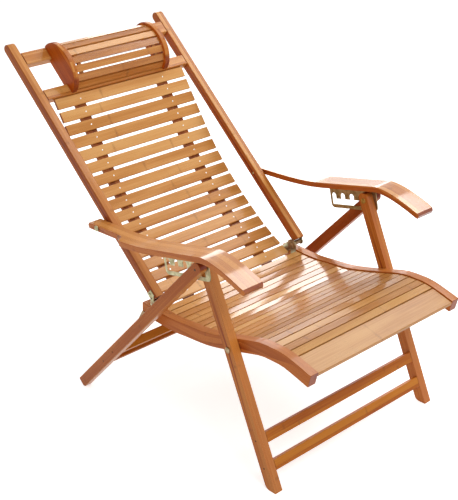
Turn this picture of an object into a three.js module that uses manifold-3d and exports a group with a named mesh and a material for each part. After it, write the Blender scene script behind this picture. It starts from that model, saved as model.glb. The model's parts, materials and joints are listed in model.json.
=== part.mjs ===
// Bamboo folding recliner: two pairs of crossed legs, a slatted seat, a slatted
// back with a headrest, and two armrests whose metal combs hook over the leg pins.
// Millimetres, +X across the chair, +Y towards its back, +Z up.
import * as THREE from 'three';
import { mergeVertices } from 'three/addons/utils/BufferGeometryUtils.js';
import Module from 'manifold-3d';

const wasm = await Module();
wasm.setup();

// General
const fit = 0.3;
const cutOver = 4;
const roundSides = 20;

// Side frame: where the pivots are, seen from the side
const frontLegLean = 67.1;
const rearLegLean = 45.7;
const backLean = 43.2;
const footToSeatPin = 325.7;
const seatPinToTopPin = 186.7;
const seatPinToHinge = 279;
const hingeAboveSeatPin = 5;
const hingeToArmBolt = 211.5;

// Widths and clearances across the chair
const seatWidth = 490;
const railThick = 23;
const legGap = 1.5;
const armGap = 2.7;

// Legs and their stretchers
const frontLegThick = 22;
const frontLegDeep = 26;
const rearLegThick = 20;
const rearLegDeep = 27;
const legTopReach = 19;
const frontHeelRound = 11;
const rearFootFlat = 5;
const stretcherThick = 14;
const frontStretcherDeep = 24;
const frontStretcherHeights = [53, 117];
const rearStretcherDeep = 21;
const rearStretcherDrops = [450, 507];

// Seat
const railDeep = 31;
const railRearOverhang = 38.5;
const railFrontReach = 219;
const seatCrown = 38.5;
const seatDip = 13;
// Height of a rail's top from its dip to its crown, from front to rear
const railTopShares = [[0, 0.573], [0.129, 0.948], [0.209, 1], [0.283, 0.951], [0.388, 0.67],
  [0.505, 0.359], [0.598, 0.165], [0.706, 0.072], [0.815, 0], [1, 0.107]];
const frontBoardDeep = 58;
const boardThick = 9;
const seatBoardDrop = 3;
const seatSlatCount = 19;
const seatSlatGap = 3.2;
const seatSlatGroups = 3;
const seatSlatsToHinge = 10.5;
const seatSlatThick = 6;
const seatSlatEndGap = 1.5;
const seatStripWide = 12;
const seatStripThick = 5;
const rearRailWide = 24;
const rearRailThick = 13;
const rearRailInset = 22;

// Back frame
const stileDeep = 23.5;
const stileLength = 732;
const stileToeRise = 6;
const stileToeSlant = 5;
const topBarDrop = 52;
const topBarWide = 34;
const neckBarDrop = 161;
const neckBarWide = 28;
const crossbarDeep = 21;
const lowBarWide = 18;
const lowBarDeep = 10;
const lowBarRise = 7;
const lowBarCheekThick = 4;
const lowBarEyeRadius = 11;

// Back panel
const backSlatCount = 17;
const backSlatWide = 27;
const backSlatEndGap = 19;
const backSlatThick = 7;
const panelBottom = 14;
const panelSag = 63;
const firstSlatDrop = 15;
const lastSlatRise = 14.4;
// Depth of the slats behind the stiles' front faces, from the top to the bottom
const panelSagShares = [[1, 0.08], [0.86, 0.4], [0.74, 0.656], [0.62, 0.88], [0.502, 1],
  [0.38, 1.03], [0.26, 0.986], [0.14, 0.86], [0, 0.557]];
const battenPlace = 131;
const battenWide = 30;
const battenThick = 10;
const battenGap = 0.7;

// Headrest
const headrestWidth = 304;
const headrestPlateThick = 15;
const headrestTongueDeep = 13;
const headrestBulge = 57;
const headrestTopOverlap = 19;
const headrestNeckOverlap = 14;
const headrestSlatCount = 8;
const headrestSlatWide = 17;
const headrestSlatThick = 6;
const headrestRim = 7;
const headrestTieWide = 10;
const headrestTieThick = 5;
const headrestTieInset = 14;

// Armrests
const armWidth = 57;
const armThick = 13.5;
const armTongue = 30;
const armTongueWide = 34;
const armShoulder = 96;
const armShoulderRound = 20;
const armRearRun = 218;
const armCombRun = 165;
const armFrontRun = 130;
const armRise = 35.5;
const armCornerRound = 10;
const armNoseBulge = 3.4;

// Combs under the armrests
const combSlope = 9.3;
const combThick = 1.9;
const combFlangeWide = 13;
const combFlangeThick = 1.8;
const notchCount = 5;
const notchPitch = 29;
const notchRadius = 7;
const channelTop = 8;
const channelDeep = 14.5;
const combBarDeep = 9;
const combRearMargin = 12;
const combFrontMargin = 22;
const combCorner = 12;

// Pins, bolts, hinges and hooks
const topPinRadius = 5;
const topPinHeadRadius = 6.5;
const topPinHeadThick = 0.9;
const boltRadius = 3;
const boltHeadRadius = 7;
const boltHeadThick = 2.2;
const hingePinRadius = 3;
const hingeDiscRadius = 13;
const hingeDiscThick = 3.5;
const leafThick = 2;
const leafReach = 24;
const leafWide = 17;
const leafEdge = 3;
const railLeafDrop = 36;
const hookPlateLong = 26;
const hookPlateDeep = 34;
const hookPlateThick = 2.2;
const hookPlateOverlap = 9;
const hookPlateReach = 16;
const hookPlateWide = 17;
const hookMouth = 8;

// Colours
const bambooColour = 0xd9a066;
const paleBamboo = 0xe0ae76;
const legColour = 0xb0704a;
const stretcherColour = 0xb86418;
const metalColour = 0x8c8464;
const brassColour = 0xb09a5a;
const woodFinish = { roughness: 0.42, metalness: 0 };
const metalFinish = { roughness: 0.38, metalness: 0.9 };

// Worked-out places
const radians = THREE.MathUtils.degToRad;
const halfSeat = seatWidth / 2;
const railInner = halfSeat - railThick;
const frontLegInner = halfSeat + legGap;
const frontLegOuter = frontLegInner + frontLegThick;
const combInner = frontLegOuter + fit;
const combOuter = combInner + combThick;
const rearLegInner = combOuter + fit;
const rearLegOuter = rearLegInner + rearLegThick;
const armInner = halfSeat + armGap;
const armOuter = armInner + armWidth;

const alongFrontLeg = new THREE.Vector2(
  Math.cos(radians(frontLegLean)), Math.sin(radians(frontLegLean)));
const seatPin = alongFrontLeg.clone().multiplyScalar(footToSeatPin);
const topPin = alongFrontLeg.clone().multiplyScalar(footToSeatPin + seatPinToTopPin);
const hinge = new THREE.Vector2(seatPin.x + seatPinToHinge, seatPin.y + hingeAboveSeatPin);
const stileMid = -stileDeep / 2;
const armBolt = inBackFrame(hingeToArmBolt, stileMid);
const topPinFromBolt = topPin.clone().sub(armBolt);
const armTilt = Math.atan2(-topPinFromBolt.y, -topPinFromBolt.x);
const topPinReach = topPinFromBolt.length();
const frontLegLength = footToSeatPin + seatPinToTopPin;

function inBackFrame(along, behind) {
  const lean = radians(backLean);
  return new THREE.Vector2(
    hinge.x + along * Math.cos(lean) + behind * Math.sin(lean),
    hinge.y + along * Math.sin(lean) - behind * Math.cos(lean));
}

// Materials and nodes
function bamboo(colour) {
  return new THREE.MeshStandardMaterial({ color: colour, ...woodFinish });
}

function metal(colour) {
  return new THREE.MeshStandardMaterial({ color: colour, ...metalFinish });
}

function addPiece(group, name, geometry, material) {
  const mesh = new THREE.Mesh(geometry, material);
  mesh.name = name;
  group.add(mesh);
  return mesh;
}

// A group that carries one rigid frame: its origin is a pivot in the side view,
// and its +Z runs at the given lean from the floor.
function frameGroup(parent, pivot, lean) {
  const group = new THREE.Group();
  group.position.set(0, pivot.x, pivot.y);
  group.rotation.x = lean;
  parent.add(group);
  return group;
}

// Geometry helpers
const alongX = new THREE.Matrix4().makeBasis(
  new THREE.Vector3(0, 1, 0), new THREE.Vector3(0, 0, 1), new THREE.Vector3(1, 0, 0));

// Side outline (y, z) extruded along X between two planes.
function sidePiece(shape, from, to) {
  const geometry = new THREE.ExtrudeGeometry(shape, { depth: to - from, bevelEnabled: false });
  return geometry.applyMatrix4(alongX).translate(from, 0, 0);
}

function box(from, to) {
  const size = new THREE.Vector3().subVectors(to, from);
  const middle = new THREE.Vector3().addVectors(from, to).multiplyScalar(1 / 2);
  return new THREE.BoxGeometry(size.x, size.y, size.z).translate(middle.x, middle.y, middle.z);
}

function outline(points) {
  return new THREE.Shape(points.map(([y, z]) => new THREE.Vector2(y, z)));
}

function roundHole(shape, y, z, radius) {
  const circle = new THREE.EllipseCurve(y, z, radius, radius, 0, Math.PI * 2, true, 0);
  shape.holes.push(new THREE.Path(circle.getPoints(roundSides).slice(1)));
}

// A headed pin on the X axis: its head starts at `from` and the shank ends at `to`.
function headedPin(from, to, shank, head, headThick) {
  const way = Math.sign(to - from);
  const length = Math.abs(to - from);
  const profile = [[0, 0], [head, 0], [head, headThick], [shank, headThick], [shank, length],
    [0, length]].map(([r, h]) => new THREE.Vector2(r, h));
  const geometry = new THREE.LatheGeometry(profile, roundSides);
  geometry.rotateZ(-way * Math.PI / 2);
  return geometry.translate(from, 0, 0);
}

function toSolid(geometry) {
  const bare = geometry.clone();
  bare.deleteAttribute('normal');
  bare.deleteAttribute('uv');
  const merged = mergeVertices(bare);
  return new wasm.Manifold(new wasm.Mesh({
    numProp: 3,
    vertProperties: new Float32Array(merged.attributes.position.array),
    triVerts: new Uint32Array(merged.index.array),
  }));
}

function toGeometry(solid) {
  const mesh = solid.getMesh();
  const geometry = new THREE.BufferGeometry();
  geometry.setAttribute('position', new THREE.BufferAttribute(mesh.vertProperties, 3));
  geometry.setIndex(new THREE.BufferAttribute(mesh.triVerts, 1));
  geometry.computeVertexNormals();
  return geometry;
}

function joined(pieces) {
  return toGeometry(pieces.map(toSolid).reduce((all, piece) => all.add(piece)));
}

function bothSides(make) {
  make('right', -1);
  make('left', 1);
}

function mirrored(side, inner, outer) {
  return side > 0 ? [inner, outer] : [-outer, -inner];
}

// A curve's point and its unit normal, turned a quarter left from its direction
function pointAndNormal(curve, share) {
  const point = curve.getPointAt(share);
  const tangent = curve.getTangentAt(share);
  return { point, tangent, normal: new THREE.Vector2(-tangent.y, tangent.x) };
}

// Closed band between a curve and its copy moved along the normal
function band(curve, fromShare, toShare, near, far, steps) {
  const nearSide = [];
  const farSide = [];
  for (let i = 0; i <= steps; i += 1) {
    const share = fromShare + (toShare - fromShare) * i / steps;
    const { point, normal } = pointAndNormal(curve, share);
    nearSide.push(point.clone().addScaledVector(normal, near));
    farSide.unshift(point.clone().addScaledVector(normal, far));
  }
  return new THREE.Shape([...nearSide, ...farSide]);
}

// A flat slat lying on a curve: centre share, width along it, and two depths
function slatAcross(curve, share, wide, near, far, halfLong) {
  const { point, tangent, normal } = pointAndNormal(curve, share);
  const corners = [[-1, near], [1, near], [1, far], [-1, far]].map(([end, depth]) => point.clone()
    .addScaledVector(tangent, end * wide / 2).addScaledVector(normal, depth));
  const shape = new THREE.Shape(corners);
  return sidePiece(shape, -halfLong, halfLong);
}

// The whole chair, front foot first
const chair = new THREE.Group();
const recliner = new THREE.Group();
chair.add(recliner);
const floorPoint = new THREE.Vector2(0, 0);
const frontFrame = frameGroup(recliner, floorPoint, -radians(90 - frontLegLean));
const rearFrame = frameGroup(recliner, topPin, radians(90 - rearLegLean));
const seat = frameGroup(recliner, seatPin, 0);
const back = frameGroup(recliner, hinge, -radians(90 - backLean));
const arms = frameGroup(recliner, armBolt, armTilt);

// Legs: round tops, front feet with rounded heels, rear feet cut square with a worn flat
function frontLegShape() {
  const half = frontLegDeep / 2;
  const floorSlope = Math.tan(radians(90 - frontLegLean));
  const crownCentre = frontLegLength + legTopReach - half;
  const heelStart = half - frontHeelRound;
  const shape = new THREE.Shape();
  shape.moveTo(-half, -half * floorSlope);
  shape.lineTo(heelStart, heelStart * floorSlope);
  shape.quadraticCurveTo(half, half * floorSlope, half, half * floorSlope + frontHeelRound);
  shape.lineTo(half, crownCentre);
  shape.absarc(0, crownCentre, half, 0, Math.PI, false);
  shape.closePath();
  roundHole(shape, 0, footToSeatPin, boltRadius + fit);
  roundHole(shape, 0, frontLegLength, topPinRadius + fit);
  return shape;
}

function rearLegShape() {
  const half = rearLegDeep / 2;
  const lean = radians(90 - rearLegLean);
  const crownCentre = legTopReach - half;
  const flatEnd = rearFootFlat - half;
  const flatStart = (half * Math.sin(lean) - topPin.y) / Math.cos(lean);
  const end = -(topPin.y + flatEnd * Math.sin(lean)) / Math.cos(lean);
  const shape = new THREE.Shape();
  shape.moveTo(-half, flatStart);
  shape.lineTo(flatEnd, end);
  shape.lineTo(half, end);
  shape.lineTo(half, crownCentre);
  shape.absarc(0, crownCentre, half, 0, Math.PI, false);
  shape.closePath();
  return shape;
}

function addLegs() {
  bothSides((side, sign) => {
    const [frontFrom, frontTo] = mirrored(sign, frontLegInner, frontLegOuter);
    const [rearFrom, rearTo] = mirrored(sign, rearLegInner, rearLegOuter);
    addPiece(frontFrame, `front_leg_${side}`, sidePiece(frontLegShape(), frontFrom, frontTo),
      bamboo(legColour));
    addPiece(rearFrame, `rear_leg_${side}`, sidePiece(rearLegShape(), rearFrom, rearTo),
      bamboo(legColour));
  });
}

function addStretchers() {
  const places = ['lower', 'upper'];
  const frontHalf = frontLegInner - fit;
  const frontFace = -frontLegDeep / 2;
  frontStretcherHeights.forEach((height, i) => {
    const low = height - frontStretcherDeep / 2;
    const high = height + frontStretcherDeep / 2;
    const bar = box(new THREE.Vector3(-frontHalf, frontFace, low),
      new THREE.Vector3(frontHalf, frontFace + stretcherThick, high));
    addPiece(frontFrame, `front_stretcher_${places[i]}`, bar, bamboo(stretcherColour));
  });
  const rearHalf = rearLegInner - fit;
  rearStretcherDrops.forEach((drop, i) => {
    const bar = box(
      new THREE.Vector3(-rearHalf, -rearStretcherDeep / 2, -drop - stretcherThick / 2),
      new THREE.Vector3(rearHalf, rearStretcherDeep / 2, -drop + stretcherThick / 2));
    addPiece(rearFrame, `rear_stretcher_${places[1 - i]}`, bar, bamboo(stretcherColour));
  });
}

// Seat: two S-curved rails, a front board, slats on two strips, and a rear rail below them
const railRear = seatPinToHinge + railRearOverhang;
const railLength = railRear + railFrontReach;
const seatCurve = new THREE.SplineCurve(railTopShares.map(([along, up]) => new THREE.Vector2(
  along * railLength - railFrontReach, up * (seatCrown + seatDip) - seatDip)));
const seatArc = seatCurve.getLength();
const seatSlatsEnd = seatArc - railRearOverhang - seatSlatsToHinge;
const seatSlatPitch = (seatSlatsEnd - frontBoardDeep) / seatSlatCount;
const seatSlatWide = seatSlatPitch - seatSlatGap;
const slatBottom = seatBoardDrop + seatSlatThick;
const stripBottom = slatBottom + seatStripThick;

function seatSlatShare(index) {
  return (frontBoardDeep + seatSlatGap / 2 + (index + 1 / 2) * seatSlatPitch) / seatArc;
}

function addSeatFrame() {
  const steps = 30;
  const shape = band(seatCurve, 0, 1, -railDeep, 0, steps);
  roundHole(shape, 0, 0, boltRadius + fit);
  bothSides((side, sign) => {
    const [from, to] = mirrored(sign, railInner, halfSeat);
    addPiece(seat, `seat_rail_${side}`, sidePiece(shape, from, to), bamboo(bambooColour));
  });
  const halfLong = railInner - fit;
  const boardSteps = 6;
  const board = band(seatCurve, 0, frontBoardDeep / seatArc, -seatBoardDrop - boardThick,
    -seatBoardDrop, boardSteps);
  addPiece(seat, 'seat_front_board', sidePiece(board, -halfLong, halfLong), bamboo(bambooColour));
  const rearRailShare = (seatSlatsEnd - rearRailInset) / seatArc;
  const rearRail = slatAcross(seatCurve, rearRailShare, rearRailWide,
    -stripBottom - fit - rearRailThick, -stripBottom - fit, halfLong);
  addPiece(seat, 'seat_rear_rail', rearRail, bamboo(stretcherColour));
}

function addSeatSlats() {
  const halfLong = railInner - seatSlatEndGap;
  const stripOuter = railInner - fit;
  const perGroup = Math.ceil(seatSlatCount / seatSlatGroups);
  const stripSteps = 8;
  for (let group = 0; group < seatSlatGroups; group += 1) {
    const first = group * perGroup;
    const last = Math.min(first + perGroup, seatSlatCount) - 1;
    const strip = band(seatCurve, seatSlatShare(first), seatSlatShare(last), -stripBottom,
      -slatBottom + fit, stripSteps);
    const pieces = [1, -1].map((sign) => sidePiece(strip,
      ...mirrored(sign, stripOuter - seatStripWide, stripOuter)));
    for (let i = first; i <= last; i += 1) {
      pieces.push(slatAcross(seatCurve, seatSlatShare(i), seatSlatWide, -slatBottom,
        -seatBoardDrop, halfLong));
    }
    addPiece(seat, `seat_slats_${group + 1}`, joined(pieces), bamboo(bambooColour));
  }
}

// Back frame: two stiles with round tops and slanted toes, and two crossbars
const topBarPlace = stileLength - topBarDrop;
const neckBarPlace = stileLength - neckBarDrop;
const neckBarBottom = neckBarPlace - neckBarWide / 2;

function addBackFrame() {
  const shape = new THREE.Shape();
  const topCentre = stileLength - stileDeep / 2;
  shape.moveTo(0, stileToeRise);
  shape.lineTo(0, topCentre);
  shape.absarc(stileMid, topCentre, stileDeep / 2, 0, Math.PI, false);
  shape.lineTo(-stileDeep, stileToeRise - stileToeSlant);
  shape.closePath();
  roundHole(shape, stileMid, hingeToArmBolt, boltRadius + fit);
  bothSides((side, sign) => {
    const [from, to] = mirrored(sign, railInner, halfSeat);
    addPiece(back, `stile_${side}`, sidePiece(shape, from, to), bamboo(bambooColour));
  });
  const halfLong = railInner - fit;
  const bars = [['top_crossbar', topBarPlace, topBarWide], ['neck_crossbar', neckBarPlace,
    neckBarWide]];
  bars.forEach(([name, place, wide]) => {
    const bar = box(new THREE.Vector3(-halfLong, -stileDeep, place - wide / 2),
      new THREE.Vector3(halfLong, crossbarDeep - stileDeep, place + wide / 2));
    addPiece(back, name, bar, bamboo(bambooColour));
  });
}

// Back panel: slats nailed on bowed battens
const panelTop = neckBarBottom - fit;
const panelCurve = new THREE.SplineCurve(panelSagShares.map(([up, sag]) => new THREE.Vector2(
  sag * panelSag - stileDeep, up * (panelTop + panelBottom) - panelBottom)));
const panelArc = panelCurve.getLength();
const battenFront = backSlatThick + battenGap;
const battenBack = battenFront + battenThick;

const backSlatPitch = (panelArc - firstSlatDrop - lastSlatRise) / (backSlatCount - 1);

function backSlatShare(index) {
  return (firstSlatDrop + index * backSlatPitch) / panelArc;
}

function addBackPanel() {
  const halfLong = railInner - backSlatEndGap;
  for (let i = 0; i < backSlatCount; i += 1) {
    const slat = slatAcross(panelCurve, backSlatShare(i), backSlatWide, 0, backSlatThick,
      halfLong);
    const number = String(i + 1).padStart(2, '0');
    addPiece(back, `back_slat_${number}`, slat, bamboo(paleBamboo));
  }
  const steps = 26;
  const topRise = pointAndNormal(panelCurve, 0).normal.y * battenBack;
  const batten = band(panelCurve, topRise / panelArc, 1, battenFront, battenBack, steps);
  bothSides((side, sign) => {
    const [from, to] = mirrored(sign, battenPlace - battenWide / 2, battenPlace + battenWide / 2);
    addPiece(back, `back_batten_${side}`, sidePiece(batten, from, to), bamboo(stretcherColour));
  });
}

// Low crossbar behind the battens, whose two cheeks hang on the hinge pins
const cheekOuter = railInner - fit - leafThick - fit;
const cheekInner = cheekOuter - lowBarCheekThick;

function addLowCrossbar() {
  const share = backSlatShare(backSlatCount - 1) - lowBarRise / panelArc;
  const { point } = pointAndNormal(panelCurve, share);
  const bar = slatAcross(panelCurve, share, lowBarWide, battenBack + fit,
    battenBack + fit + lowBarDeep, cheekOuter);
  const rear = point.x + battenBack + lowBarDeep / 2;
  const half = lowBarWide / 2;
  const cheek = new THREE.Shape();
  cheek.moveTo(rear, point.y - half);
  cheek.lineTo(rear, point.y + half);
  cheek.lineTo(0, lowBarEyeRadius);
  cheek.absarc(0, 0, lowBarEyeRadius, Math.PI / 2, Math.PI * 3 / 2, false);
  cheek.closePath();
  roundHole(cheek, 0, 0, hingePinRadius + fit);
  const cheeks = [1, -1].map((sign) => sidePiece(cheek, ...mirrored(sign, cheekInner,
    cheekOuter)));
  addPiece(back, 'low_crossbar', joined([bar, ...cheeks]), bamboo(stretcherColour));
}

// Headrest: two D-shaped plates whose tongues sit between the upper crossbars, and slats
// over the arch
const headrestTop = topBarPlace + headrestTopOverlap;
const headrestBottom = neckBarPlace - headrestNeckOverlap;
const headrestMiddle = (headrestTop + headrestBottom) / 2;
const headrestHalf = (headrestTop - headrestBottom) / 2;
const headrestBase = -stileDeep - fit;
const headrestTongueTop = topBarPlace - topBarWide / 2 - fit;
const headrestTongueBottom = neckBarPlace + neckBarWide / 2 + fit;

function headrestArch(inset) {
  return new THREE.EllipseCurve(headrestBase, headrestMiddle, headrestBulge - inset,
    headrestHalf - inset, Math.PI / 2, Math.PI * 3 / 2, false, 0);
}

function addHeadrest() {
  const archSteps = 20;
  const tongueBack = headrestBase + headrestTongueDeep;
  const plate = new THREE.Shape([...headrestArch(0).getPoints(archSteps),
    new THREE.Vector2(headrestBase, headrestTongueBottom),
    new THREE.Vector2(tongueBack, headrestTongueBottom),
    new THREE.Vector2(tongueBack, headrestTongueTop),
    new THREE.Vector2(headrestBase, headrestTongueTop)]);
  bothSides((side, sign) => {
    const outer = headrestWidth / 2;
    const [from, to] = mirrored(sign, outer - headrestPlateThick, outer);
    addPiece(back, `headrest_plate_${side}`, sidePiece(plate, from, to), bamboo(bambooColour));
  });
  const arch = headrestArch(headrestRim);
  const halfLong = headrestWidth / 2 - headrestPlateThick - fit;
  const pieces = [];
  for (let i = 0; i < headrestSlatCount; i += 1) {
    pieces.push(slatAcross(arch, (i + 1 / 2) / headrestSlatCount, headrestSlatWide, 0,
      headrestSlatThick, halfLong));
  }
  const tie = band(arch, 1 / 2 / headrestSlatCount, 1 - 1 / 2 / headrestSlatCount,
    headrestSlatThick - fit, headrestSlatThick + headrestTieThick, archSteps);
  const tieOuter = halfLong - headrestTieInset;
  [1, -1].forEach((sign) => {
    pieces.push(sidePiece(tie, ...mirrored(sign, tieOuter - headrestTieWide, tieOuter)));
  });
  addPiece(back, 'headrest_slats', joined(pieces), bamboo(paleBamboo));
}

// Armrests: one board each, bent in the side view, with a narrow rear tongue on the bolt
const combRise = Math.tan(radians(combSlope));
const combRunStart = new THREE.Vector2(-armRearRun, armRise - armCombRun * combRise);
const combRunEnd = new THREE.Vector2(-armRearRun - armCombRun, armRise);
const armFront = armRearRun + armCombRun + armFrontRun;
// How far the bend curves' handles run along their stretch
const rearBendShares = [0.36, 0.33];
const frontBendShares = [0.14, 0.44];
const noseDropShare = 0.95;

function armCentre() {
  const rearLength = armTongue + armRearRun;
  const path = new THREE.CurvePath();
  path.add(new THREE.CubicBezierCurve(
    new THREE.Vector2(armTongue, 0),
    new THREE.Vector2(armTongue - rearLength * rearBendShares[0], 0),
    new THREE.Vector2(combRunStart.x + rearLength * rearBendShares[1],
      combRunStart.y - rearLength * rearBendShares[1] * combRise),
    combRunStart));
  path.add(new THREE.LineCurve(combRunStart, combRunEnd));
  path.add(new THREE.CubicBezierCurve(
    combRunEnd,
    new THREE.Vector2(combRunEnd.x - armFrontRun * frontBendShares[0],
      combRunEnd.y + armFrontRun * frontBendShares[0] * combRise),
    new THREE.Vector2(combRunEnd.x - armFrontRun * frontBendShares[1], armRise * noseDropShare),
    new THREE.Vector2(-armFront, 0)));
  return path;
}

function armSide() {
  const steps = 12;
  const points = armCentre().getPoints(steps);
  const half = armThick / 2;
  const rear = points[0];
  const nose = points[points.length - 1];
  const below = points.map((p) => new THREE.Vector2(p.x, p.y - half));
  const above = points.map((p) => new THREE.Vector2(p.x, p.y + half)).reverse();
  const noseTip = new THREE.Vector2(nose.x - half / 2, nose.y);
  const rearTip = new THREE.Vector2(rear.x + half / 2, rear.y);
  const shape = new THREE.Shape([...below, noseTip, ...above, rearTip].reverse());
  roundHole(shape, 0, 0, boltRadius + fit);
  return shape;
}

function armPlan(sign) {
  const inner = sign * armInner;
  const outer = sign * armOuter;
  const tongue = sign * (armInner + armTongueWide);
  const rear = armTongue + armThick;
  const front = -armFront - armThick;
  const round = sign * armCornerRound;
  const nose = -armFront - armNoseBulge;
  const shape = new THREE.Shape();
  shape.moveTo(inner, rear);
  shape.lineTo(inner, nose + armCornerRound);
  shape.quadraticCurveTo(inner, nose, inner + round, front);
  shape.lineTo(outer - round, front);
  shape.quadraticCurveTo(outer, nose, outer, nose + armCornerRound);
  shape.lineTo(outer, -armShoulder - armShoulderRound);
  shape.bezierCurveTo(outer, -armShoulder, tongue, -armShoulder - armShoulderRound, tongue,
    -armShoulder + armShoulderRound);
  shape.lineTo(tongue, rear);
  shape.closePath();
  return shape;
}

function addArms() {
  const reach = armRise + armThick + cutOver;
  bothSides((side, sign) => {
    const board = toSolid(sidePiece(armSide(), ...mirrored(sign, armInner - cutOver,
      armOuter + cutOver)));
    const corners = 5;
    const plan = new THREE.ExtrudeGeometry(armPlan(sign), { depth: reach + reach,
      bevelEnabled: false, curveSegments: corners }).translate(0, 0, -reach);
    addPiece(arms, `arm_${side}`, toGeometry(board.intersect(toSolid(plan))),
      bamboo(bambooColour));
  });
}

// Combs: a flange under the arm and a plate whose notches hang on the top pin
function addCombs() {
  const tilt = radians(combSlope);
  const centreAbovePin = combRunStart.y + (topPinReach - armRearRun) * combRise;
  const plateTop = (centreAbovePin - armThick / 2) * Math.cos(tilt) - fit;
  const lastNotch = (notchCount - 1) * notchPitch;
  const rear = lastNotch + combRearMargin;
  const bottom = -channelTop - channelDeep - combBarDeep;
  const channelBottom = -channelTop - channelDeep;
  const shape = new THREE.Shape();
  shape.moveTo(-combFrontMargin, plateTop);
  shape.lineTo(-combFrontMargin, bottom + combCorner);
  shape.quadraticCurveTo(-combFrontMargin, bottom, combCorner - combFrontMargin, bottom);
  shape.lineTo(rear - combCorner, bottom);
  shape.quadraticCurveTo(rear, bottom, rear, bottom + combCorner);
  shape.lineTo(rear, plateTop);
  shape.closePath();
  const channel = new THREE.Path();
  channel.moveTo(-notchRadius, channelBottom);
  for (let i = 0; i < notchCount; i += 1) {
    const place = i * notchPitch;
    channel.lineTo(place - notchRadius, -channelTop);
    channel.lineTo(place - notchRadius, 0);
    channel.absarc(place, 0, notchRadius, Math.PI, 0, true);
    channel.lineTo(place + notchRadius, -channelTop);
  }
  channel.lineTo(lastNotch + notchRadius, channelBottom);
  channel.closePath();
  shape.holes.push(channel);
  bothSides((side, sign) => {
    const plate = sidePiece(shape, ...mirrored(sign, combInner, combOuter));
    const [flangeFrom, flangeTo] = mirrored(sign, combOuter - combFlangeWide, combOuter);
    const flange = box(
      new THREE.Vector3(flangeFrom, -combFrontMargin, plateTop - combFlangeThick),
      new THREE.Vector3(flangeTo, rear, plateTop));
    const comb = addPiece(arms, `comb_${side}`, joined([plate, flange]), metal(metalColour));
    comb.position.set(0, -topPinReach, 0);
    comb.rotation.x = -tilt;
  });
}

// Pins, bolts and hinge leaves
function addTopPins() {
  bothSides((side, sign) => {
    const head = frontLegInner - fit - topPinHeadThick;
    const pin = headedPin(sign * head, sign * frontLegOuter, topPinRadius, topPinHeadRadius,
      topPinHeadThick);
    addPiece(frontFrame, `top_pin_${side}`, pin.translate(0, 0, frontLegLength),
      metal(brassColour));
  });
}

function addSeatBolts() {
  bothSides((side, sign) => {
    const head = frontLegOuter + fit + boltHeadThick;
    const bolt = headedPin(sign * head, sign * railInner, boltRadius, boltHeadRadius,
      boltHeadThick);
    addPiece(frontFrame, `seat_bolt_${side}`, bolt.translate(0, 0, footToSeatPin),
      metal(metalColour));
  });
}

function addArmBolts() {
  bothSides((side, sign) => {
    const head = armInner + armTongueWide + fit + boltHeadThick;
    const bolt = headedPin(sign * head, sign * railInner, boltRadius, boltHeadRadius,
      boltHeadThick);
    addPiece(arms, `arm_bolt_${side}`, bolt, metal(metalColour));
  });
}

function addHinges() {
  const half = leafWide / 2;
  const overStile = -leafEdge;
  const stileLeaf = new THREE.Shape();
  stileLeaf.moveTo(half, 0);
  stileLeaf.lineTo(overStile, half);
  stileLeaf.lineTo(overStile, leafReach);
  stileLeaf.lineTo(overStile - leafWide, leafReach);
  stileLeaf.lineTo(overStile - leafWide, half);
  stileLeaf.lineTo(-half, 0);
  stileLeaf.absarc(0, 0, half, Math.PI, Math.PI * 2, false);
  roundHole(stileLeaf, 0, 0, hingePinRadius + fit);
  const railLeaf = new THREE.Shape();
  railLeaf.moveTo(half, 0);
  railLeaf.absarc(0, 0, half, 0, Math.PI, false);
  railLeaf.lineTo(-half, -railLeafDrop);
  railLeaf.lineTo(half, -railLeafDrop);
  railLeaf.closePath();
  roundHole(railLeaf, 0, 0, hingePinRadius + fit);
  const railLeafOuter = railInner - fit;
  const railLeafInner = railLeafOuter - leafThick;
  const stileLeafInner = halfSeat + fit;
  const stileLeafOuter = stileLeafInner + leafThick;
  bothSides((side, sign) => {
    addPiece(back, `stile_leaf_${side}`, sidePiece(stileLeaf, ...mirrored(sign,
      stileLeafInner, stileLeafOuter)), metal(metalColour));
    const rail = sidePiece(railLeaf, ...mirrored(sign, railLeafInner, railLeafOuter));
    addPiece(seat, `rail_leaf_${side}`, rail.translate(0, seatPinToHinge, hingeAboveSeatPin),
      metal(metalColour));
    const pin = headedPin(sign * (cheekInner - fit - hingeDiscThick), sign * stileLeafOuter,
      hingePinRadius, hingeDiscRadius, hingeDiscThick);
    addPiece(seat, `hinge_pin_${side}`, pin.translate(0, seatPinToHinge, hingeAboveSeatPin),
      metal(metalColour));
  });
}

// Hook plates below the rails' rear ends, which hold the open chair
function addHooks() {
  const { point } = pointAndNormal(seatCurve, 1);
  const front = point.x - hookPlateLong;
  const top = point.y - railDeep + hookPlateOverlap;
  const rear = point.x + hookPlateReach;
  const bottom = top - hookPlateDeep;
  const shape = outline([[front, top], [rear - hookPlateWide, bottom],
    [rear, bottom], [rear, bottom + hookMouth], [point.x, top]]);
  bothSides((side, sign) => {
    const [from, to] = mirrored(sign, halfSeat + fit, halfSeat + fit + hookPlateThick);
    addPiece(seat, `hook_plate_${side}`, sidePiece(shape, from, to), metal(metalColour));
  });
}

addLegs();
addStretchers();
addSeatFrame();
addSeatSlats();
addBackFrame();
addBackPanel();
addLowCrossbar();
addHeadrest();
addArms();
addCombs();
addTopPins();
addSeatBolts();
addArmBolts();
addHinges();
addHooks();

// The origin is at the middle of the footprint, on the floor
chair.updateMatrixWorld(true);
const bounds = new THREE.Box3().setFromObject(chair, true);
recliner.position.y = -(bounds.min.y + bounds.max.y) / 2;
chair.updateMatrixWorld(true);

export default chair;
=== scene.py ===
"""Bamboo folding recliner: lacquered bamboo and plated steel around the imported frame."""

import json
import math
import random

import bmesh
import bpy
import numpy as np
from mathutils import Matrix, Vector


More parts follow.
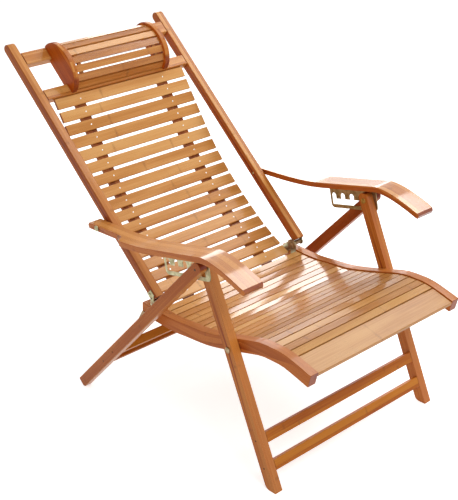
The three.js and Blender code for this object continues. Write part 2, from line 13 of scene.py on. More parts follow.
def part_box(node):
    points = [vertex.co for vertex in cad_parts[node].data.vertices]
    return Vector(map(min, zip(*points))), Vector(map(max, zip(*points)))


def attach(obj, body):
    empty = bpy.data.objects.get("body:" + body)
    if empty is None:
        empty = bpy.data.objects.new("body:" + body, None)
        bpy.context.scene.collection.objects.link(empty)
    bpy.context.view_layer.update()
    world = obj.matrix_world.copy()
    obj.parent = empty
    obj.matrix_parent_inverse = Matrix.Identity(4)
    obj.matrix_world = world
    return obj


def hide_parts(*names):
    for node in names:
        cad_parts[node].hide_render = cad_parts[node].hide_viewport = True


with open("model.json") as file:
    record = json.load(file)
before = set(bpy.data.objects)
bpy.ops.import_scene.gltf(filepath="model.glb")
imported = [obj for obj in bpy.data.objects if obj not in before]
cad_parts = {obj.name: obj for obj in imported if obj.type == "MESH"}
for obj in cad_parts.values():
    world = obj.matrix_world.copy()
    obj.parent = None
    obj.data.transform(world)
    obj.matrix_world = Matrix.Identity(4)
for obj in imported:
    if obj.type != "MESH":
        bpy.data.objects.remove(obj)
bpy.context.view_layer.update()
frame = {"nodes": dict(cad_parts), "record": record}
nodes = frame["nodes"]
bodies = frame["record"]["behaviour"]["bodies"]
body_of = {name: body for body, names in bodies.items() for name in names}

MM = 0.001
SEED = 27

# How the chair's straight pieces lean and where they turn, as the frame has them
FRONT_LEG_LEAN = math.radians(67.1)
REAR_LEG_LEAN = math.radians(180 - 45.7)
BACK_LEAN = math.radians(43.2)
ALONG_BACK = Vector((0.0, math.cos(BACK_LEAN), math.sin(BACK_LEAN)))
OUT_OF_BACK = Vector((0.0, -math.sin(BACK_LEAN), math.cos(BACK_LEAN)))
TOP_PIVOT = Vector((0.0, -0.22172, 0.47202))
BACK_HINGE = Vector((0.0, -0.01537, 0.30503))
FRONT_LEG_REACH = 512.4 * MM
ACROSS = Vector((1.0, 0.0, 0.0))


# ---------------------------------------------------------------- materials


def linear(colour):
    """An sRGB hex colour as the linear red, green, blue and alpha that a socket holds."""
    channels = [int(colour[i : i + 2], 16) / 255 for i in (1, 3, 5)]
    return [c / 12.92 if c <= 0.04045 else ((c + 0.055) / 1.055) ** 2.4 for c in channels] + [1.0]


def add(tree, kind, settings=None, links=None):
    """One node, with its settings, and its inputs filled from nodes, sockets or plain values."""
    new = tree.nodes.new(kind)
    for name, value in (settings or {}).items():
        setattr(new, name, value)
    for name, value in (links or {}).items():
        socket = new.inputs[name]
        if isinstance(value, bpy.types.Node):
            value = value.outputs[0]
        if isinstance(value, bpy.types.NodeSocket):
            tree.links.new(value, socket)
        else:
            socket.default_value = value
    return new


def blank_material(name):
    material = bpy.data.materials.new(name)
    material.use_nodes = True
    material.node_tree.nodes.clear()
    return material, material.node_tree


def set_stops(ramp, stops):
    """Fills a colour ramp from its (place, hex colour) pairs."""
    elements = ramp.color_ramp.elements
    while len(elements) < len(stops):
        elements.new(0.5)
    for element, (place, colour) in zip(elements, stops):
        element.position = place
        element.color = linear(colour)


NODE_MARK = "#7A431C"
END_GRAIN = "#C09078"
FIBRE_WIDE, FIBRE_LONG = 3 * MM, 150 * MM
CLOUD_WIDE, CLOUD_LONG = 26 * MM, 190 * MM
LACQUER_WAVE_WIDE, LACQUER_WAVE_LONG = 22 * MM, 55 * MM
NODE_SPACING, NODE_WIDE, NODE_WAVE = 340 * MM, 5 * MM, 14 * MM
AGE_SPREAD, CLOUD_SHARE = 0.44, 0.55
CANE_SHIFT, TONE_SPREAD = 2.3, 91.7
EDGE_DARKENING = 0.4


def lacquered_bamboo(name, deep, middle, pale, strip=None, gloss=0.4, side_shade="#FFFFFF"):
    """Split bamboo strips glued side by side and sprayed with clear lacquer.

    The eye sees long fibre streaks, a soft brown band where the cane had a node, strips
    of slightly different age next to each other, and a wet gloss over all of it.
    Fibres are 1 mm wide in the cane and drawn 3 mm wide to show. A strip of None
    is a slat cut from one cane. The side shade colour is painted shade on the sides
    that face across the chair, and lacquer gathers dark on the edges beside them.
    Ends sawn across the fibres drink the most lacquer and are the darkest.
    """
    material, tree = blank_material(name)
    grain = add(tree, "ShaderNodeAttribute", {"attribute_name": "grain"}).outputs["Vector"]
    tone = add(tree, "ShaderNodeAttribute", {"attribute_name": "tone"}).outputs["Fac"]
    along, across, depth = add(tree, "ShaderNodeSeparateXYZ", links={0: grain}).outputs

    # Each glued strip is a cell with an age of its own, and starts elsewhere on its cane
    strip_cell = [0.0, 0.0]
    if strip:
        for i, side in enumerate((across, depth)):
            widths = add(tree, "ShaderNodeMath", {"operation": "MULTIPLY"}, {0: side, 1: 1 / strip})
            strip_cell[i] = add(tree, "ShaderNodeMath", {"operation": "FLOOR"}, {0: widths})
    piece_cell = add(tree, "ShaderNodeMath", {"operation": "MULTIPLY"}, {
        0: tone, 1: TONE_SPREAD})
    cell = add(tree, "ShaderNodeCombineXYZ", links={
        0: strip_cell[0], 1: strip_cell[1], 2: piece_cell})
    age = add(tree, "ShaderNodeTexWhiteNoise", {"noise_dimensions": "3D"}, {
        "Vector": cell}).outputs["Value"]
    slid = add(tree, "ShaderNodeMath", {"operation": "MULTIPLY_ADD"}, {
        0: age, 1: CANE_SHIFT, 2: along})
    cane = add(tree, "ShaderNodeCombineXYZ", links={0: slid, 1: across, 2: depth})

    # Streaks of fibre and slow clouds of colour, both stretched along the cane
    fibre_place = add(tree, "ShaderNodeMapping", links={
        "Vector": cane, "Scale": (1 / FIBRE_LONG, 1 / FIBRE_WIDE, 1 / FIBRE_WIDE)})
    fibres = add(tree, "ShaderNodeTexNoise", links={
        "Vector": fibre_place, "Scale": 1.0, "Detail": 3.0, "Roughness": 0.6}).outputs["Fac"]
    cloud_place = add(tree, "ShaderNodeMapping", links={
        "Vector": cane, "Scale": (1 / CLOUD_LONG, 1 / CLOUD_WIDE, 1 / CLOUD_WIDE)})
    clouds = add(tree, "ShaderNodeTexNoise", links={
        "Vector": cloud_place, "Scale": 1.0, "Detail": 2.0}).outputs["Fac"]
    cloud_share = add(tree, "ShaderNodeMath", {"operation": "MULTIPLY"}, {
        0: clouds, 1: CLOUD_SHARE})
    mixed = add(tree, "ShaderNodeMath", {"operation": "MULTIPLY_ADD"}, {
        0: fibres, 1: 1 - CLOUD_SHARE, 2: cloud_share})
    age_share = add(tree, "ShaderNodeMapRange", links={
        "Value": age, "To Min": -AGE_SPREAD / 2, "To Max": AGE_SPREAD / 2})
    aged = add(tree, "ShaderNodeMath", {"operation": "ADD"}, {0: mixed, 1: age_share})
    ramp = add(tree, "ShaderNodeValToRGB", links={0: aged})
    set_stops(ramp, [(0.3, deep), (0.5, middle), (0.7, pale)])

    # A wavy, patchy brown band at each node of the cane
    spacings = add(tree, "ShaderNodeMath", {"operation": "DIVIDE"}, {0: slid, 1: NODE_SPACING})
    place = add(tree, "ShaderNodeMath", {"operation": "FRACT"}, {0: spacings})
    from_node = add(tree, "ShaderNodeMath", {"operation": "SUBTRACT"}, {0: place, 1: 0.5})
    from_node = add(tree, "ShaderNodeMath", {"operation": "ABSOLUTE"}, {0: from_node})
    away = add(tree, "ShaderNodeMath", {"operation": "MULTIPLY"}, {0: from_node, 1: NODE_SPACING})
    wavy = add(tree, "ShaderNodeMath", {"operation": "MULTIPLY_ADD"}, {
        0: clouds, 1: NODE_WAVE, 2: away})
    band = add(tree, "ShaderNodeMapRange", links={
        "Value": wavy, "From Min": NODE_WAVE / 2, "From Max": NODE_WAVE / 2 + NODE_WIDE,
        "To Min": 1.0, "To Max": 0.0})
    patchy = add(tree, "ShaderNodeMapRange", links={
        "Value": fibres, "From Min": 0.4, "From Max": 0.6, "To Min": 0.12, "To Max": 0.55})
    mark = add(tree, "ShaderNodeMath", {"operation": "MULTIPLY"}, {0: band, 1: patchy})
    marked = add(tree, "ShaderNodeMix", {"data_type": "RGBA"}, {
        0: mark, 6: ramp, 7: linear(NODE_MARK)}).outputs[2]

    # Painted shade on the sides, darker sawn ends and the dark line of lacquer along the edges
    facing = add(tree, "ShaderNodeTexCoord").outputs["Normal"]
    facing_across = add(tree, "ShaderNodeSeparateXYZ", links={0: facing})
    sideways = add(tree, "ShaderNodeMath", {"operation": "ABSOLUTE"}, {0: facing_across})
    # Painted shade: the sides that face across the chair are multiplied by the side shade colour
    side_shaded = add(tree, "ShaderNodeMix", {"data_type": "RGBA", "blend_type": "MULTIPLY"}, {
        0: sideways, 6: marked, 7: linear(side_shade)}).outputs[2]
    sawn = add(tree, "ShaderNodeAttribute", {"attribute_name": "end_grain"}).outputs["Fac"]
    thirsty = add(tree, "ShaderNodeMix", {"data_type": "RGBA", "blend_type": "MULTIPLY"}, {
        0: sawn, 6: side_shaded, 7: linear(END_GRAIN)}).outputs[2]
    off_edge = add(tree, "ShaderNodeMath", {"operation": "MULTIPLY_ADD"}, {
        0: sideways, 1: 2.0, 2: -1.0})
    off_edge = add(tree, "ShaderNodeMath", {"operation": "ABSOLUTE"}, {0: off_edge})
    edge = add(tree, "ShaderNodeMapRange", links={
        "Value": off_edge, "To Min": EDGE_DARKENING, "To Max": 0.0})
    edged = add(tree, "ShaderNodeMix", {"data_type": "RGBA"}, {
        0: edge, 6: thirsty, 7: linear(NODE_MARK)}).outputs[2]

    # The lacquer: glossy on the broad faces, thin on the flanks, and not quite flat
    coat = add(tree, "ShaderNodeMapRange", links={
        "Value": sideways, "To Min": gloss, "To Max": gloss / 5})
    fibre_bump = add(tree, "ShaderNodeBump", links={
        "Strength": 0.18, "Distance": 0.2 * MM, "Height": fibres})
    wave_place = add(tree, "ShaderNodeMapping", links={
        "Vector": cane,
        "Scale": (1 / LACQUER_WAVE_LONG, 1 / LACQUER_WAVE_WIDE, 1 / LACQUER_WAVE_WIDE)})
    lacquer_wave = add(tree, "ShaderNodeTexNoise", links={
        "Vector": wave_place, "Scale": 1.0, "Detail": 1.0}).outputs["Fac"]
    lacquer_bump = add(tree, "ShaderNodeBump", links={
        "Strength": 0.3, "Distance": 0.5 * MM, "Height": lacquer_wave})
    shader = add(tree, "ShaderNodeBsdfPrincipled", links={
        "Base Color": edged, "Roughness": 0.45, "IOR": 1.5, "Specular IOR Level": 0.2,
        "Coat Weight": coat, "Coat Roughness": 0.1, "Normal": fibre_bump,
        "Coat Normal": lacquer_bump})
    add(tree, "ShaderNodeOutputMaterial", links={"Surface": shader})
    return material


SCRATCH_ACROSS, SCRATCH_ALONG = MM / 0.9, MM / 0.12


def plated_metal(name, dark, light, roughness, blotch=7 * MM):
    """Stamped steel with a thin plating: soft blotches where the plating is thicker.

    Its scratches are finer than a hair and drawn a millimetre wide to show.
    """
    material, tree = blank_material(name)
    place = add(tree, "ShaderNodeTexCoord").outputs["Object"]
    blotches = add(tree, "ShaderNodeTexNoise", links={
        "Vector": place, "Scale": 1 / blotch, "Detail": 3.0, "Roughness": 0.55}).outputs["Fac"]
    scratch_place = add(tree, "ShaderNodeMapping", links={
        "Vector": place, "Scale": (1 / SCRATCH_ACROSS, 1 / SCRATCH_ALONG, 1 / SCRATCH_ACROSS)})
    scratches = add(tree, "ShaderNodeTexNoise", links={
        "Vector": scratch_place, "Scale": 1.0, "Detail": 2.0}).outputs["Fac"]
    ramp = add(tree, "ShaderNodeValToRGB", links={0: blotches})
    set_stops(ramp, [(0.36, dark), (0.62, light)])
    rough = add(tree, "ShaderNodeMapRange", links={
        "Value": scratches, "To Min": roughness - 0.08, "To Max": roughness + 0.1})
    bump = add(tree, "ShaderNodeBump", links={
        "Strength": 0.1, "Distance": 0.1 * MM, "Height": scratches})
    shader = add(tree, "ShaderNodeBsdfPrincipled", links={
        "Base Color": ramp, "Metallic": 1.0, "Roughness": rough, "Normal": bump})
    add(tree, "ShaderNodeOutputMaterial", links={"Surface": shader})
    return material


SLAT_BAMBOO = lacquered_bamboo("honey_bamboo_slat", "#BE7C34", "#D1924C", "#DEA662", gloss=0.2)
SEAT_BAMBOO = lacquered_bamboo("honey_bamboo_seat", "#B87632", "#CB8B44", "#DBA35E", gloss=1.0)
# Painted shade: a darker, less glossy copy of the seat bamboo for the seat's front slats and board,
# standing in for dimmer light there
SHADED_SEAT_BAMBOO = lacquered_bamboo("rubbed_bamboo_seat_front", "#A2662A", "#B67A38", "#C8924E",
                               gloss=0.3)
STILE_BAMBOO = lacquered_bamboo("honey_bamboo_frame", "#B86E2A", "#CC863E", "#D89A54", 12 * MM,
                                gloss=0.2, side_shade="#DCAC7C")
RAIL_BAMBOO = lacquered_bamboo("bent_bamboo_rail", "#AC6024", "#C27636", "#D28C4A", 15 * MM,
                               gloss=0.25, side_shade="#FFE4C4")
LEG_BAMBOO = lacquered_bamboo("amber_bamboo_leg", "#AE5816", "#C47029", "#D2863C", 13 * MM)
STRETCHER_BAMBOO = lacquered_bamboo("amber_bamboo_stretcher", "#A24C06", "#BA6610", "#CA7C20",
                                    14 * MM, gloss=0.1)
# Painted shade: a darker copy of the leg bamboo, for the far rear leg
SHADED_LEG_BAMBOO = lacquered_bamboo("shaded_bamboo_leg", "#923E0C", "#A44E16", "#B46026",
                                     13 * MM, gloss=0.1)
BATTEN_BAMBOO = lacquered_bamboo("smoked_bamboo_batten", "#82400F", "#9A5018", "#AE6428", 14 * MM,
                                 gloss=0.2)
HEADREST_BAMBOO = lacquered_bamboo("honey_bamboo_headrest", "#A6642C", "#C47E38", "#DA9C54")
PLATE_BAMBOO = lacquered_bamboo("bent_bamboo_end_plate", "#AA5A18", "#C0722A", "#D08A42", 9 * MM,
                                gloss=0.1, side_shade="#FFCC70")
ARM_BAMBOO = lacquered_bamboo("bent_bamboo_arm", "#B26628", "#C67E36", "#D6944C", 15 * MM,
                              gloss=1.0, side_shade="#FCD6AC")
PLATE_STEEL = plated_metal("yellow_zinc_steel", "#968F6C", "#C2BC98", 0.36, 16 * MM)
# Painted shade: a darker copy of the zinc plating, for the far comb
SHADED_ZINC_STEEL = plated_metal("shaded_zinc_steel", "#84744E", "#B0A07A", 0.38, 16 * MM)
HINGE_STEEL = plated_metal("bronzed_hinge_steel", "#8A7252", "#B09878", 0.4)
BOLT_STEEL = plated_metal("bright_zinc_nail", "#D8D6CE", "#F2F1EC", 0.3)
DARK_BOLT = plated_metal("oiled_steel_bolt", "#3C3024", "#5C4A38", 0.46, 4 * MM)
BRASS = plated_metal("drawn_brass_pin", "#8C7434", "#BCA45C", 0.3)


# ------------------------------------------------------------ bamboo pieces

MERGE = 0.01 * MM
FLAT_TURN = math.radians(0.6)
SHARP_TURN = math.radians(28)
HOLE_RIM_EDGE = 1.25 * MM
SLAT_SHORTEST, SLAT_NARROWEST, SLAT_APART = 200 * MM, 12 * MM, 9 * MM
SAWN_SHARE = 0.75
FACE_WEIGHT = 80


def across_x(point):
    """Grain that runs straight across the chair."""
    return Vector((point.x, point.y, point.z))


def leaning(lean):
    """Grain that runs along a straight piece which leans in the side view."""
    cos, sin = math.cos(lean), math.sin(lean)

    def grain(point):
        return Vector((point.y * cos + point.z * sin, point.x, point.z * cos - point.y * sin))

    return grain


def bent(node, degree):
    """Grain that follows a bent piece from front to rear, on a smooth curve through it."""
    places = [v.co for v in nodes[node].data.vertices]
    fit = np.poly1d(np.polyfit([p.y for p in places], [p.z for p in places], degree))

    def grain(point):
        return Vector((point.y, point.x, point.z - fit(point.y)))

    return grain


def merged_copy(node):
    """A node's solid as clean faces: doubles merged and flat neighbours joined."""
    bm = bmesh.new()
    bm.from_mesh(nodes[node].data)
    bmesh.ops.remove_doubles(bm, verts=bm.verts, dist=MERGE)
    bmesh.ops.dissolve_limit(bm, angle_limit=FLAT_TURN, verts=bm.verts, edges=bm.edges)
    return bm


def round_edges(bm, radius):
    """Rounds the sharp edges, apart from the short ones round small bolt holes."""
    sharp = [e for e in bm.edges if e.is_manifold and e.calc_face_angle() > SHARP_TURN
             and e.calc_length() > HOLE_RIM_EDGE]
    bmesh.ops.bevel(bm, geom=sharp, offset=radius, offset_type="OFFSET", segments=3,
                    profile=0.5, affect="EDGES", clamp_overlap=True, material=-1)


def slat_middles(bm):
    """The middles of the broad faces that run right across a piece, one for each slat."""
    middles = []
    for face in bm.faces:
        ends = [v.co.x for v in face.verts]
        long = max(ends) - min(ends)
        if long < SLAT_SHORTEST or face.calc_area() / long < SLAT_NARROWEST:
            continue
        middle = face.calc_center_median()
        if all((middle - other).length > SLAT_APART for other in middles):
            middles.append(middle)
    return middles


def mark_grain(bm, grain, luck, middles):
    """Writes where each point lies along and across the cane, the strip's own tone, and
    which faces are sawn across the fibres.
    """
    place = bm.verts.layers.float_vector.new("grain")
    tone = bm.verts.layers.float.new("tone")
    cut = bm.verts.layers.float.new("end_grain")
    for face in bm.faces:
        middle = face.calc_center_median()
        if abs(grain(middle + face.normal * MM).x - grain(middle).x) > SAWN_SHARE * MM:
            for vert in face.verts:
                vert[cut] = 1.0
    lucks = [(Vector((luck.uniform(0, 3), 0, 0)), luck.random()) for _ in middles]
    for vert in bm.verts:
        nearest = min(range(len(middles)), key=lambda i: (vert.co - middles[i]).yz.length)
        offset, own_tone = lucks[nearest]
        vert[place] = grain(vert.co) - grain(middles[nearest]) + offset
        vert[tone] = own_tone


def finish_piece(name, bm, material, body, weighted=True):
    """Makes the object from its mesh, shades it smooth and puts it on its body."""
    mesh = bpy.data.meshes.new(name)
    for face in bm.faces:
        face.smooth = True
    bm.to_mesh(mesh)
    bm.free()
    mesh.materials.append(material)
    piece = bpy.data.objects.new(name, mesh)
    bpy.context.scene.collection.objects.link(piece)
    if weighted:
        normals = piece.modifiers.new("flat faces stay flat", "WEIGHTED_NORMAL")
        normals.weight = FACE_WEIGHT
    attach(piece, body)
    return piece


def box_middle(node):
    low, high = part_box(node)
    return (Vector(low) + Vector(high)) / 2


def dress(node, grain, material, radius, many=False):
    """A rounded and grained bamboo piece in a node's own place.

    A node that holds many slats gives each of them its own cane.
    """
    luck = random.Random(f"{SEED} {node}")
    bm = merged_copy(node)
    middles = slat_middles(bm) if many else [box_middle(node)]
    round_edges(bm, radius)
    mark_grain(bm, grain, luck, middles)
    piece = finish_piece(f"{node}_bamboo", bm, material, body_of[node])
    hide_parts(node)
    return piece


# The far rear leg is a darker copy of the leg bamboo: painted shade, standing in for the shade that
# falls on it
rear_leg_finish_and_shade = {"right": LEG_BAMBOO, "left": SHADED_LEG_BAMBOO}
for side in ("right", "left"):
    dress(f"front_leg_{side}", leaning(FRONT_LEG_LEAN), LEG_BAMBOO, 1.6 * MM)
    dress(f"rear_leg_{side}", leaning(REAR_LEG_LEAN), rear_leg_finish_and_shade[side],
          1.6 * MM)
    dress(f"stile_{side}", leaning(BACK_LEAN), STILE_BAMBOO, 2.2 * MM)
    dress(f"seat_rail_{side}", bent(f"seat_rail_{side}", 9), RAIL_BAMBOO, 2.2 * MM)
    dress(f"arm_{side}", bent(f"arm_{side}", 7), ARM_BAMBOO, 2.0 * MM)
    dress(f"back_batten_{side}", leaning(BACK_LEAN), BATTEN_BAMBOO, 1.0 * MM)
    dress(f"headrest_plate_{side}", leaning(BACK_LEAN), PLATE_BAMBOO, 1.8 * MM)
for level in ("lower", "upper"):
    for end in ("front", "rear"):
        dress(f"{end}_stretcher_{level}", across_x, STRETCHER_BAMBOO, 1.5 * MM)
for bar in ("top_crossbar", "neck_crossbar"):
    dress(bar, across_x, STILE_BAMBOO, 1.8 * MM)
low_bar = dress("low_crossbar", across_x, BATTEN_BAMBOO, 0.8 * MM)
dress("seat_rear_rail", across_x, STRETCHER_BAMBOO, 1.0 * MM)
# The front board and the front seat slats take the darker copy of the seat bamboo: painted shade
dress("seat_front_board", across_x, SHADED_SEAT_BAMBOO, 1.5 * MM)
for group, finish in ((1, SHADED_SEAT_BAMBOO), (2, SEAT_BAMBOO), (3, SEAT_BAMBOO)):
    dress(f"seat_slats_{group}", across_x, finish, 1.8 * MM, many=True)
dress("headrest_slats", across_x, HEADREST_BAMBOO, 1.4 * MM, many=True)
BACK_SLAT_COUNT = 17
back_slats = [f"back_slat_{number:02d}" for number in range(1, BACK_SLAT_COUNT + 1)]
for slat in back_slats:
    dress(slat, across_x, SLAT_BAMBOO, 1.7 * MM)


# ------------------------------------------------------------ metal pieces

PRESSED_TURN = math.radians(40)
CHEEK_START = 214 * MM


def plate(node, material, radius):
    """A CAD node of pressed or turned metal, with its corners taken off."""
    piece = nodes[node]
    piece.data.materials.clear()
    piece.data.materials.append(material)
    weld = piece.modifiers.new("one skin", "WELD")
    weld.merge_threshold = MERGE
    corners = piece.modifiers.new("pressed corners", "BEVEL")
    corners.width = radius
    corners.segments = 2
    corners.limit_method = "ANGLE"
    corners.angle_limit = PRESSED_TURN
    normals = piece.modifiers.new("flat faces stay flat", "WEIGHTED_NORMAL")
    normals.weight = FACE_WEIGHT


# The low crossbar's two cheeks are steel plates
low_bar.data.materials.append(PLATE_STEEL)
for face in low_bar.data.polygons:
    ends = [low_bar.data.vertices[v].co.x for v in face.vertices]
    if min(ends) > CHEEK_START or max(ends) < -CHEEK_START:
        face.material_index = 1

# The far comb is a darker, browner copy of the zinc plating: painted shade, for its side that faces
# away from the light
comb_finish_and_shade = {"right": PLATE_STEEL, "left": SHADED_ZINC_STEEL}
for side in ("right", "left"):
    plate(f"comb_{side}", comb_finish_and_shade[side], 0.4 * MM)
    plate(f"stile_leaf_{side}", PLATE_STEEL, 0.4 * MM)
    plate(f"rail_leaf_{side}", PLATE_STEEL, 0.4 * MM)
    plate(f"hook_plate_{side}", HINGE_STEEL, 0.5 * MM)
    plate(f"hinge_pin_{side}", HINGE_STEEL, 0.5 * MM)
    plate(f"arm_bolt_{side}", PLATE_STEEL, 0.5 * MM)
    plate(f"seat_bolt_{side}", HINGE_STEEL, 0.5 * MM)
    plate(f"top_pin_{side}", BRASS, 0.3 * MM)


DOME_TOP, DOME_ROUND, DOME_TURN, DOME_SIDES = 0.55, 0.2, math.radians(20), 16
TUBE_SIDES = 24
NAIL_LINE, NAIL_HEAD, NAIL_HEIGHT, NAIL_PROUD = 131 * MM, 2.5 * MM, 1.2 * MM, 0.2 * MM
SCREW_HEIGHT, SCREW_PROUD = 0.9 * MM, 0.1 * MM
CROSS_LONG, CROSS_WIDE, CROSS_DEEP, CROSS_UP, CROSS_TURN = 1.1, 0.28, 0.3 * MM, 0.5 * MM, 0.5
LEG_SCREW, PIVOT_SCREW, LEAF_SCREW = 2.4 * MM, 3.6 * MM, 2.6 * MM


def domed_head(bm, centre, out, radius, height):
    """A nail or screw head: a disc whose rim is turned down into a low dome.

    It is rounded in a mesh of its own, which keeps its points in the same order each run.
    """
    turn = out.to_track_quat("Z", "Y").to_matrix().to_4x4()
    head = bmesh.new()
    bmesh.ops.create_cone(head, cap_ends=True, segments=DOME_SIDES, radius1=radius,
                          radius2=radius * DOME_TOP, depth=height,
                          matrix=Matrix.Translation(centre) @ turn)
    rim = [e for e in head.edges if e.calc_face_angle(0) > DOME_TURN
           and all((v.co - centre).dot(out) > 0 for v in e.verts)]
    bmesh.ops.bevel(head, geom=rim, offset=radius * DOME_ROUND, segments=2, profile=0.5,
                    affect="EDGES", clamp_overlap=True, material=-1)
    mesh = bpy.data.meshes.new("head")
    head.to_mesh(mesh)
    head.free()
    bm.from_mesh(mesh)
    bpy.data.meshes.remove(mesh)


def slat_front(node):
    """The middle of a slat's front face, and the way it faces."""
    bm = merged_copy(node)
    fronts = [face for face in bm.faces if face.normal.dot(OUT_OF_BACK) > 0.5]
    broadest = max(fronts, key=lambda face: face.calc_area())
    middle, facing = broadest.calc_center_median(), broadest.normal.copy()
    bm.free()
    return middle, facing


def across_out(node, sign):
    """How far out across the chair a node reaches on one side."""
    low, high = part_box(node)
    return high[0] if sign > 0 else low[0]


def along_leg(pivot, lean, distance):
    """A point up or down a leg from a point on it."""
    return pivot + Vector((0.0, math.cos(lean), math.sin(lean))) * distance


def screws(name, body, places, radius, material):
    """Screws with a crossed mark, whose heads stand a hair proud of what they hold."""
    bm = bmesh.new()
    for place, out in places:
        domed_head(bm, place + out * SCREW_PROUD, out, radius, SCREW_HEIGHT)
        middle = Matrix.Translation(place + out * CROSS_UP)
        turn = out.to_track_quat("Z", "Y").to_matrix().to_4x4()
        size = Matrix.Diagonal((radius * CROSS_LONG, radius * CROSS_WIDE, CROSS_DEEP, 1.0))
        for across in (0.0, math.pi / 2):
            spun = Matrix.Rotation(across + CROSS_TURN, 4, "Z")
            bmesh.ops.create_cube(bm, size=1.0, matrix=middle @ turn @ spun @ size)
    finish_piece(name, bm, material, body, weighted=False)


def tube(bm, place, inner, outer, start, end):
    """A straight tube across the chair: its section, repeated round its axis."""
    corners = [(inner, start), (outer, start), (outer, end), (inner, end)]
    sections = []
    for step in range(TUBE_SIDES):
        turn = math.tau * step / TUBE_SIDES
        sections.append([
            bm.verts.new(place + Vector((x, radius * math.cos(turn), radius * math.sin(turn))))
            for radius, x in corners])
    for step in range(TUBE_SIDES):
        last, this = sections[step - 1], sections[step]
        for i in range(len(corners)):
            bm.faces.new((last[i - 1], last[i], this[i], this[i - 1]))
    bmesh.ops.recalc_face_normals(bm, faces=bm.faces)


bm = bmesh.new()
for slat in back_slats:
    middle, facing = slat_front(slat)
    for sign in (-1, 1):
        place = Vector((sign * NAIL_LINE, middle.y, middle.z))
        domed_head(bm, place + facing * NAIL_PROUD, facing, NAIL_HEAD, NAIL_HEIGHT)
finish_piece("back_slat_nails", bm, BOLT_STEEL, "back", weighted=False)

# Screws through the legs into the stretchers' ends, and one at each rear leg's pivot
FRONT_STRETCHERS = (53 * MM, 117 * MM)
REAR_STRETCHERS = (-450 * MM, -507 * MM)
foot = along_leg(TOP_PIVOT, FRONT_LEG_LEAN, -FRONT_LEG_REACH)
for side, sign in (("right", -1), ("left", 1)):
    out = ACROSS * sign
    front_face = out * abs(across_out(f"front_leg_{side}", sign))
    rear_face = out * abs(across_out(f"rear_leg_{side}", sign))
    front_spots = [along_leg(foot, FRONT_LEG_LEAN, height) for height in FRONT_STRETCHERS]
    rear_spots = [along_leg(TOP_PIVOT, REAR_LEG_LEAN, drop) for drop in REAR_STRETCHERS]
    screws(f"front_leg_screws_{side}", "front_frame",
           [(spot + front_face, out) for spot in front_spots], LEG_SCREW, DARK_BOLT)
    screws(f"rear_leg_screws_{side}", "rear_frame",
           [(spot + rear_face, out) for spot in rear_spots], LEG_SCREW, DARK_BOLT)
    screws(f"rear_leg_pivot_screw_{side}", "rear_frame",
           [(TOP_PIVOT + rear_face, out)], PIVOT_SCREW, DARK_BOLT)


# Hinge fittings: a knuckle under each stile, a ringed cap and a riveted end on each pin,
# and two screws in each stile's leaf
PIN_RADIUS, KNUCKLE_RADIUS = 3.2 * MM, 5.6 * MM
KNUCKLE_START, KNUCKLE_END = 222.6 * MM, 244.4 * MM
CAP_FACE, CAP_RING, CAP_RING_HIGH = 211.7 * MM, (6.4 * MM, 8.2 * MM), 0.7 * MM
CAP_RIVET, CAP_RIVET_HIGH = 4.2 * MM, 1.6 * MM
PIN_END, PIN_RIVET, PIN_RIVET_HIGH = 247.4 * MM, 5.0 * MM, 2.0 * MM
LEAF_SCREWS = [(-6.0 * MM, 8.5 * MM), (-11.5 * MM, 19.0 * MM)]


def behind_hinge(behind, along):
    """A point on the back, so far behind its hinge and so far up from it."""
    return BACK_HINGE - OUT_OF_BACK * behind + ALONG_BACK * along


for side, sign in (("right", -1), ("left", 1)):
    out = ACROSS * sign
    bm = bmesh.new()
    tube(bm, BACK_HINGE, PIN_RADIUS, KNUCKLE_RADIUS, sign * KNUCKLE_START, sign * KNUCKLE_END)
    finish_piece(f"hinge_knuckle_{side}", bm, HINGE_STEEL, "back")

    bm = bmesh.new()
    tube(bm, BACK_HINGE, *CAP_RING, sign * CAP_FACE, sign * (CAP_FACE - CAP_RING_HIGH))
    domed_head(bm, BACK_HINGE + out * CAP_FACE, -out, CAP_RIVET, CAP_RIVET_HIGH)
    domed_head(bm, BACK_HINGE + out * PIN_END, out, PIN_RIVET, PIN_RIVET_HIGH)
    finish_piece(f"hinge_caps_{side}", bm, HINGE_STEEL, body_of[f"hinge_pin_{side}"],
                 weighted=False)
    screws(f"stile_leaf_screws_{side}", "back",
           [(behind_hinge(*spot) + out * PIN_END, out) for spot in LEAF_SCREWS],
           LEAF_SCREW, DARK_BOLT)


# ----------------------------------------------------------- stage and light


FLOOR_HALF, FLOOR_LIFT = 14.0, 0.62
WORLD_LIGHT, WORLD_SEEN = 0.48, 1.0


def seen_directly(tree):
    """1 for what the camera, gloss and glass see, and 0 for what lights the chair."""
    path = add(tree, "ShaderNodeLightPath").outputs
    seen = add(tree, "ShaderNodeMath", {"operation": "MAXIMUM"}, {
        0: path["Is Camera Ray"], 1: path["Is Glossy Ray"]})
    return add(tree, "ShaderNodeMath", {"operation": "MAXIMUM"}, {
        0: seen, 1: path["Is Transmission Ray"]})


# White paper takes the shadow, and the camera and gloss see it a little brighter
white_paper, tree = blank_material("white_paper_floor")
paper = add(tree, "ShaderNodeBsdfDiffuse", links={"Color": linear("#F4F4F4")})
lift = add(tree, "ShaderNodeMath", {"operation": "MULTIPLY"}, {
    0: seen_directly(tree), 1: FLOOR_LIFT})
glow = add(tree, "ShaderNodeEmission", links={"Color": linear("#FFFFFF"), "Strength": lift})
both = add(tree, "ShaderNodeAddShader", links={0: paper, 1: glow})
add(tree, "ShaderNodeOutputMaterial", links={"Surface": both})

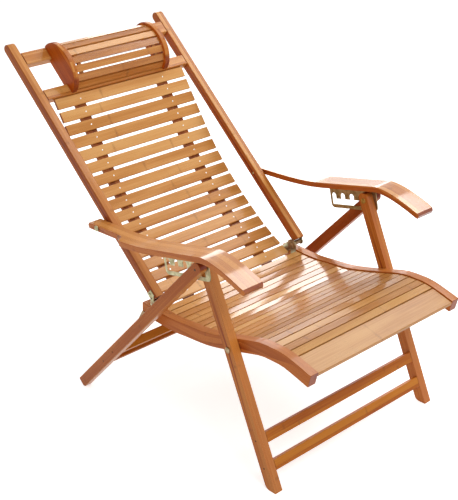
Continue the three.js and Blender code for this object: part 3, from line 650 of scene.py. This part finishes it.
bm = bmesh.new()
bmesh.ops.create_grid(bm, x_segments=1, y_segments=1, size=FLOOR_HALF)
mesh = bpy.data.meshes.new("floor")
bm.to_mesh(mesh)
bm.free()
mesh.materials.append(white_paper)
floor = bpy.data.objects.new("floor", mesh)
bpy.context.scene.collection.objects.link(floor)

world = bpy.data.worlds.new("white_studio")
bpy.context.scene.world = world
world.use_nodes = True
tree = world.node_tree
tree.nodes.clear()
strength = add(tree, "ShaderNodeMapRange", links={
    "Value": seen_directly(tree), "To Min": WORLD_LIGHT, "To Max": WORLD_SEEN})
sky = add(tree, "ShaderNodeBackground", links={
    "Color": linear("#FFFFFF"), "Strength": strength})
add(tree, "ShaderNodeOutputWorld", links={"Surface": sky})


def softbox(name, place, size, power):
    """A white square studio lamp that looks at the middle of the chair."""
    lamp = bpy.data.lights.new(name, "AREA")
    lamp.shape = "SQUARE"
    lamp.size = size
    lamp.energy = power
    holder = bpy.data.objects.new(name, lamp)
    bpy.context.scene.collection.objects.link(holder)
    place = Vector(place)
    turn = (place - CHAIR_MIDDLE).to_track_quat("Z", "Y").to_matrix().to_4x4()
    holder.matrix_world = Matrix.Translation(place) @ turn


CHAIR_MIDDLE = Vector((0.0, 0.0, 0.4))
softbox("key_over_far_side", (1.86, -0.1, 2.7), 1.35, 35)
softbox("front_fill", (-0.5, -2.0, 2.6), 1.4, 26)
softbox("low_rear_sheen", (1.95, 2.1, 1.55), 1.4, 24)

# The camera that was fitted to the photo
EYE = Vector((-1.7142, -1.8794, 1.5066))
FORWARD = Vector((0.616, 0.6709, -0.413))
UP = Vector((0.2961, 0.2887, 0.9105))
SENSOR_WIDE, LENS = 36.0, 90.51
forward = FORWARD.normalized()
right = forward.cross(UP).normalized()
up = right.cross(forward)
camera = bpy.data.cameras.new("photo_camera")
camera.sensor_fit = "HORIZONTAL"
camera.sensor_width = SENSOR_WIDE
camera.lens = LENS
holder = bpy.data.objects.new("photo_camera", camera)
bpy.context.scene.collection.objects.link(holder)
turn = Matrix((right, up, -forward)).transposed().to_4x4()
holder.matrix_world = Matrix.Translation(EYE) @ turn
bpy.context.scene.camera = holder
bpy.context.scene.view_settings.view_transform = "Standard"
